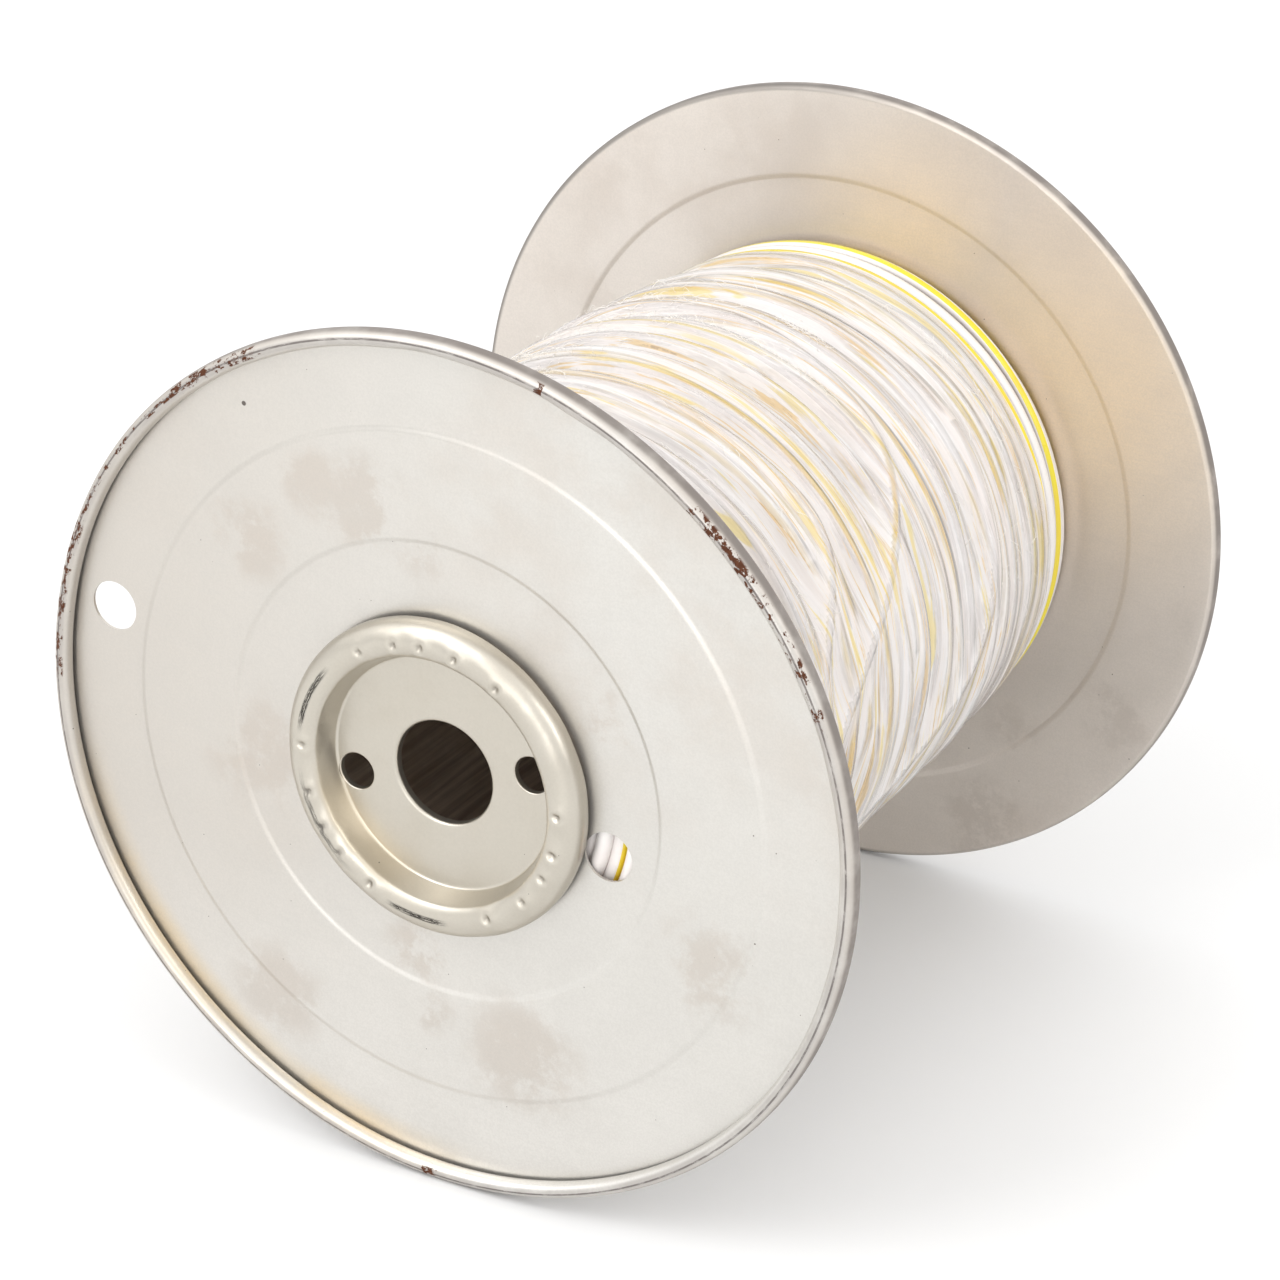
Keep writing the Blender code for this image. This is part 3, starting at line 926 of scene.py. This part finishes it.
def steel(name, colour, stain_colour, seed, roughness, front):
    """Bare rolled sheet steel for a flange; seed shifts its cloudy patches."""
    n = Nodes(name)
    blotch = n.noise(24 + seed, 5, 0.65)
    mottle = n.noise(70 + seed, 4, 0.6)
    roll = n.noise(1.0, 4, 0.6, n.stretched(60, 60, 900))
    grain = n.noise(1600, 2, 0.5)
    height = n.math("SUBTRACT", n.math("ABSOLUTE", n.y), END_PLANE)
    on_top = n.between(height, 2.3 * MM, 3.0 * MM)

    cloudy = n.times(n.between(n.noise(9 + seed, 4, 0.6), 0.44, 0.66), n.between(blotch, 0.36, 0.6))
    n.base = n.mix(n.times(cloudy, 0.5), colour, stain_colour)
    if front:
        front_face(n, colour, blotch)
    else:
        rear_face(n)
    n.coat(dimmed(colour, 0.8), n.between(mottle, 0.35, 0.7, 0, 0.13))
    n.coat(dimmed(colour, 0.86), n.between(roll, 0.3, 0.7, 0, 0.10))
    n.coat((0.42, 0.40, 0.37), n.between(grain, 0.25, 0.75, 0, 0.17))
    speck = n.most(n.specks(60, 0.022, 0.2), n.specks(140, 0.04, 0.12), n.specks(260, 0.055, 0.08))
    n.coat((0.07, 0.05, 0.04), speck, 0.8)
    if front:
        n.coat((0.06, 0.045, 0.04), n.between(n.spots(FRONT_CHIP), 0.2, 0.5, 0, 0.85))

    # the rim: painted shade outside, darkest on its outer edge, and rougher there; painted shade beside its
    # crest; worn dark along it
    rim_shade_and_dulling = n.times(n.between(n.radius, 131.5 * MM, 133.1 * MM), n.between(height, -5.5 * MM, -2.5 * MM))
    n.coat((0.43, 0.39, 0.355), rim_shade_and_dulling, n.between(mottle, 0.3, 0.6, 0.45, 0.75))
    # painted shade on the outer edge of the rim
    side = n.times(n.between(n.radius, 132.8 * MM, 133.4 * MM), n.between(mottle, 0.3, 0.6, 0.5, 0.85))
    n.coat((0.19, 0.165, 0.15), side)
    # painted shade in a band beside the crest
    crest_shade = n.times(n.near(n.radius, 131.0 * MM, 0.7 * MM, 0.9 * MM), n.between(height, 2.3 * MM, 3.1 * MM))
    n.coat((0.36, 0.33, 0.31), crest_shade, n.between(mottle, 0.3, 0.6, 0.25, 0.6))
    worn = n.times(n.near(n.radius, 131.35 * MM, 0.18 * MM, 0.2 * MM),
                   n.between(height, 2.9 * MM, 3.5 * MM),
                   n.between(n.swept(24, 900, 4, 0.7), 0.36, 0.52, 0.35, 1.0))
    n.coat((0.09, 0.075, 0.07), worn, 0.8)
    if not front:
        # painted shade on the rear rim's bend, on the left only
        left_edge_shade = n.times(n.between(n.radius, 131.2 * MM, 132.4 * MM),
                           n.between(n.x, 50 * MM, -30 * MM), n.between(height, 0.7 * MM, -0.1 * MM))
        n.coat((0.20, 0.185, 0.17), left_edge_shade, 0.75)

    # rust along the crest: a few thick patches, and fine flakes on the upper left
    flakes = n.times(n.stretches(RUST_STRETCHES), n.swept(32, 420, 5, 0.7))
    thick = n.times(n.near(n.radius, 131.4 * MM, 1.3 * MM, 0.6 * MM), on_top, n.between(flakes, 0.49, 0.53))
    fine = n.times(n.near(n.radius, 131.3 * MM, 0.5 * MM, 0.4 * MM), on_top,
                   n.near(n.degrees, 148, 26, 10),
                   n.between(n.swept(42, 500, 5, 0.7), 0.50, 0.55))
    rust = n.most(thick, fine)
    rust_colour = n.mix(n.noise(900, 2), (0.035, 0.014, 0.009), (0.13, 0.05, 0.025))
    n.coat(rust_colour, rust)

    dull = n.most(speck, rust, n.times(worn, 0.6))
    metallic = n.math("SUBTRACT", 0.84, n.times(dull, 0.8))
    rough = n.plus(n.between(blotch, 0.3, 0.7, roughness - 0.05, roughness + 0.06),
                   n.plus(n.times(dull, 0.3), n.times(rim_shade_and_dulling, 0.2)))
    normal = n.bump(grain, 0.014 * MM, n.bump(n.noise(35, 3, 0.5), 0.25 * MM))
    return n.surface(Metallic=metallic, Roughness=rough, Normal=normal,
                     Specular_IOR_Level=n.between(dull, 0, 1, 0.5, 0.08))


def cap_steel(name):
    """The hub caps' smoother steel, with painted shade in the stake pits, and scuffed lips."""
    n = Nodes(name)
    blotch = n.noise(60, 5, 0.6)
    grain = n.noise(1500, 2, 0.5)
    n.base = n.mix(n.between(blotch, 0.42, 0.7, 0, 0.35), (0.54, 0.505, 0.44), (0.50, 0.46, 0.39))
    n.coat((0.34, 0.32, 0.28), n.between(grain, 0.25, 0.75, 0, 0.10))
    warm_wall = n.times(n.near(n.radius, CUP_RADIUS + 0.8 * MM, 1.2 * MM, 1.6 * MM),
                        n.near(n.degrees, -138, 16, 26))
    n.coat((0.66, 0.56, 0.40), warm_wall, 0.5)

    before = 10
    third = n.math("FLOORED_MODULO", n.math("SUBTRACT", n.degrees, FIRST_STAKE_DEG - before), 120)
    # painted shade in the stake pits
    pit = n.times(n.most(*[n.near(third, before + stake, 0.55, 1.1) for stake in STAKES_DEG]),
                  n.near(n.radius, STAKE_RADIUS, 0.3 * MM, 0.9 * MM))
    n.coat((0.16, 0.14, 0.12), pit, 0.4)

    scuff = n.times(n.near(n.radius, LIP_CREST_RADIUS + 0.4 * MM, 0.5 * MM, 0.7 * MM),
                    n.stretches(SCUFF_STRETCHES),
                    n.between(n.swept(11, 3600, 6, 0.8), 0.44, 0.48))
    speck = n.most(n.specks(150, 0.045, 0.10), n.specks(300, 0.05, 0.05))
    dark = n.most(scuff, n.times(speck, 0.85))
    n.coat((0.02, 0.017, 0.015), dark, 0.96)
    metallic = n.math("SUBTRACT", 0.93, n.times(dark, 0.85))
    rough = n.plus(n.between(blotch, 0.3, 0.7, 0.31, 0.40), n.times(dark, 0.4))
    normal = n.bump(grain, 0.01 * MM, n.bump(n.noise(90, 3, 0.5), 0.2 * MM))
    return n.surface(Metallic=metallic, Roughness=rough, Normal=normal,
                     Specular_IOR_Level=n.between(dark, 0, 1, 0.5, 0.08))


def barrel_steel(name):
    """The barrel's inside: brown, with marks drawn around it."""
    n = Nodes(name)
    draw = n.drawn(500, 14, 4, 0.6)
    blotch = n.noise(40, 4, 0.6)
    n.base = n.mix(n.between(draw, 0.35, 0.68), (0.60, 0.50, 0.41), (0.36, 0.28, 0.22))
    n.coat((0.40, 0.30, 0.21), n.between(blotch, 0.45, 0.7, 0, 0.5))
    return n.surface(Metallic=0.4, Roughness=n.between(blotch, 0.3, 0.7, 0.4, 0.6),
                     Normal=n.bump(draw, 0.1 * MM))


def insulation(name, colour, shade):
    """Soft plastic insulation, dirty in patches, with painted shade and some dust where two turns meet, and
    painted shade under the film.
    """
    n = Nodes(name)
    dirt = n.noise(48, 4, 0.6)
    fine = n.noise(900, 3, 0.6)
    n.base = n.mix(n.between(dirt, 0.42, 0.66, 0, 0.8), colour, shade)
    n.coat(dimmed(shade, 0.7), n.between(fine, 0.55, 0.8, 0, 0.15))
    # painted shade: the turns under the film take more of the shade colour, but not the rings at the front
    # flange
    under_film_shade = n.times(n.between(n.y, 70 * MM, 98 * MM, 0.7, 0), n.between(n.y, -112 * MM, -108 * MM))
    n.coat(shade, under_film_shade)
    dusty = n.between(n.y, FILM_EDGE - 1 * MM, FILM_EDGE + 2 * MM, 0, 0.6)
    n.coat(dimmed(colour, 0.78), dusty)
    bare = n.between(n.y, FILM_EDGE - 2 * MM, FILM_EDGE + 2 * MM, 0.16, 0.9)
    # painted shade with some dust where two turns meet, stronger past the film's edge
    n.coat((0.24, 0.185, 0.165), n.attribute("crevice_shade_and_dust"), bare)
    return n.surface(Roughness=n.between(dirt, 0.3, 0.7, 0.26, 0.42), Coat_Weight=0.15,
                     Coat_Roughness=0.2, Normal=n.bump(n.noise(260, 3, 0.5), 0.06 * MM))


def film_plastic(name):
    """Several layers of clear stretch film: hazy, streaked, tanned in bands and torn in places."""
    n = Nodes(name)
    streak = n.drawn(24, 1200, 5, 0.7, 0.4)
    broad = n.drawn(16, 170, 4, 0.6, 0.8)
    fine = n.drawn(50, 1700, 3, 0.7, 0.3)
    thread = n.drawn(14, 520, 4, 0.72, 0.9)
    crinkle = n.drawn(170, 520, 4, 0.65, 1.2)
    veil = n.drawn(11, 120, 3, 0.6, 1.0)
    glow = n.drawn(13, 230, 3, 0.6, 0.7)
    bridged = n.attribute("bridged")
    tan_bands = n.between(thread, 0.57, 0.61)
    torn = n.times(n.between(thread, 0.665, 0.68), n.between(crinkle, 0.42, 0.54), 0.8)

    haze = n.plus(n.between(broad, 0.34, 0.64, 0.24, 0.68), n.between(streak, 0.45, 0.68, 0, 0.18))
    haze = n.plus(haze, n.between(bridged, 0.06, 0.5, 0, 0.5))
    haze = n.plus(haze, n.between(crinkle, 0.56, 0.72, 0, 0.12), clamp=True)
    haze = n.most(haze, torn, n.times(tan_bands, 0.75))

    n.base = n.mix(n.between(veil, 0.42, 0.62, 0, 0.8), (0.86, 0.848, 0.845), (0.85, 0.785, 0.75))
    # painted shade: a pinkish tint where the film bridges the dips between turns
    n.coat((0.87, 0.82, 0.79), n.between(bridged, 0.15, 0.7, 0, 0.5))
    n.coat((0.76, 0.71, 0.69), n.between(fine, 0.50, 0.62, 0, 0.4))
    n.coat((0.78, 0.585, 0.315), tan_bands, 0.85)
    n.coat((0.90, 0.895, 0.895), n.between(streak, 0.56, 0.68, 0, 0.9))
    n.coat((0.84, 0.68, 0.22), n.between(glow, 0.59, 0.625, 0, 0.65))
    n.coat((0.50, 0.37, 0.25), torn)

    height = n.plus(n.times(streak, 0.5), n.plus(n.times(fine, 0.22), n.times(crinkle, 0.5)))
    normal = n.bump(height, 0.19 * MM)
    front = n.add("BsdfDiffuse", {"Color": n.base, "Normal": normal}).outputs[0]
    through = n.add("BsdfTranslucent", {"Color": n.base, "Normal": normal}).outputs[0]
    body = n.add("MixShader", {0: 0.30, 1: front, 2: through}).outputs[0]
    clear = n.add("BsdfTransparent", {0: (0.995, 0.995, 0.995, 1)}).outputs[0]
    skin = n.add("MixShader", {0: haze, 1: clear, 2: body}).outputs[0]
    gloss = n.add("BsdfGlossy", {"Roughness": 0.12, "Normal": normal}).outputs[0]
    edge = n.add("Fresnel", {"IOR": 1.4, "Normal": normal}).outputs[0]
    return n.done(n.add("MixShader", {0: n.times(edge, 0.9), 1: skin, 2: gloss}).outputs[0])


def shred_plastic(name):
    """Torn hairs of the film: whiter and less clear than the film itself."""
    n = Nodes(name)
    n.base = n.mix(n.noise(400, 2), (0.93, 0.92, 0.90), (0.80, 0.74, 0.66))
    return n.surface(Roughness=n.between(n.noise(900, 2), 0.3, 0.7, 0.2, 0.4),
                     Normal=n.bump(n.noise(1500, 2), 0.01 * MM))


def floor_paint():
    n = Nodes("studio_floor")
    n.base = n.mix(n.noise(3, 2), (0.715, 0.715, 0.715), (0.725, 0.725, 0.725))
    return n.surface(Roughness=0.9, Specular_IOR_Level=0.1, Normal=n.bump(n.noise(200, 2), 0.05 * MM))


# ======== studio
def area_light(name, place, size, power):
    data = bpy.data.lights.new(name, "AREA")
    data.shape = "RECTANGLE"
    data.size, data.size_y = size
    data.energy = power
    light = add_object(name, data)
    light.location = place
    light.rotation_euler = (-Vector(place)).to_track_quat("-Z", "Y").to_euler()


def make_floor():
    mesh = bpy.data.meshes.new("floor")
    bm = bmesh.new()
    bmesh.ops.create_circle(bm, cap_ends=True, segments=96, radius=9)
    bm.to_mesh(mesh)
    bm.free()
    floor = add_object("floor", mesh, floor_paint())
    floor.location.z = -FLANGE_RADIUS - 0.2 * MM


def make_world():
    """White all round, brighter above."""
    world = bpy.data.worlds.new("studio")
    bpy.context.scene.world = world
    world.use_nodes = True
    tree = world.node_tree
    tree.nodes.clear()
    place = tree.nodes.new("ShaderNodeTexCoord")
    split = tree.nodes.new("ShaderNodeSeparateXYZ")
    ramp = tree.nodes.new("ShaderNodeMapRange")
    for key, value in (("From Min", 0.0), ("From Max", 0.3), ("To Min", 0.90), ("To Max", 1.42)):
        ramp.inputs[key].default_value = value
    back = tree.nodes.new("ShaderNodeBackground")
    back.inputs["Color"].default_value = (1.0, 1.0, 1.0, 1)
    out = tree.nodes.new("ShaderNodeOutputWorld")
    tree.links.new(place.outputs["Generated"], split.inputs[0])
    tree.links.new(split.outputs[2], ramp.inputs["Value"])
    tree.links.new(ramp.outputs[0], back.inputs["Strength"])
    tree.links.new(back.outputs[0], out.inputs[0])


def make_studio():
    make_floor()
    make_world()
    for light in LIGHTS:
        area_light(*light)

    camera = bpy.data.cameras.new("camera")
    camera.sensor_width = 36
    camera.lens = LENS
    camera.clip_end = 50
    eye = add_object("camera", camera)
    eye.location = EYE
    eye.rotation_euler = (math.radians(90 - EYE_DOWN_DEG), 0, math.radians(EYE_LEFT_DEG))
    scene = bpy.context.scene
    scene.camera = eye
    scene.view_settings.view_transform = "Standard"
    scene.cycles.transparent_max_bounces = 24


def main():
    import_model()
    front_steel = steel("flange_steel", (0.645, 0.627, 0.59), (0.575, 0.515, 0.455),
                        seed=0, roughness=0.36, front=True)
    rear_steel = steel("rear_flange_steel", (0.70, 0.645, 0.59), (0.58, 0.51, 0.45),
                       seed=3, roughness=0.40, front=False)
    cap = cap_steel("cap_steel")
    make_flange("front_pressing", "front_flange", -1, front_steel)
    make_flange("rear_pressing", "rear_flange", 1, rear_steel)
    make_hub_cap("front_cap", "front_hub_cap", -1, cap)
    make_hub_cap("rear_cap", "rear_hub_cap", 1, cap)
    make_barrel(barrel_steel("barrel_steel"))
    surface = make_winding(insulation("wire_white", (0.82, 0.795, 0.775), (0.78, 0.72, 0.69)),
                           insulation("wire_yellow", (0.80, 0.68, 0.04), (0.80, 0.53, 0.06)))
    film = film_over(surface)
    make_film(surface, film, film_plastic("film_plastic"))
    make_frays(film, shred_plastic("film_shreds"))
    make_studio()


main()
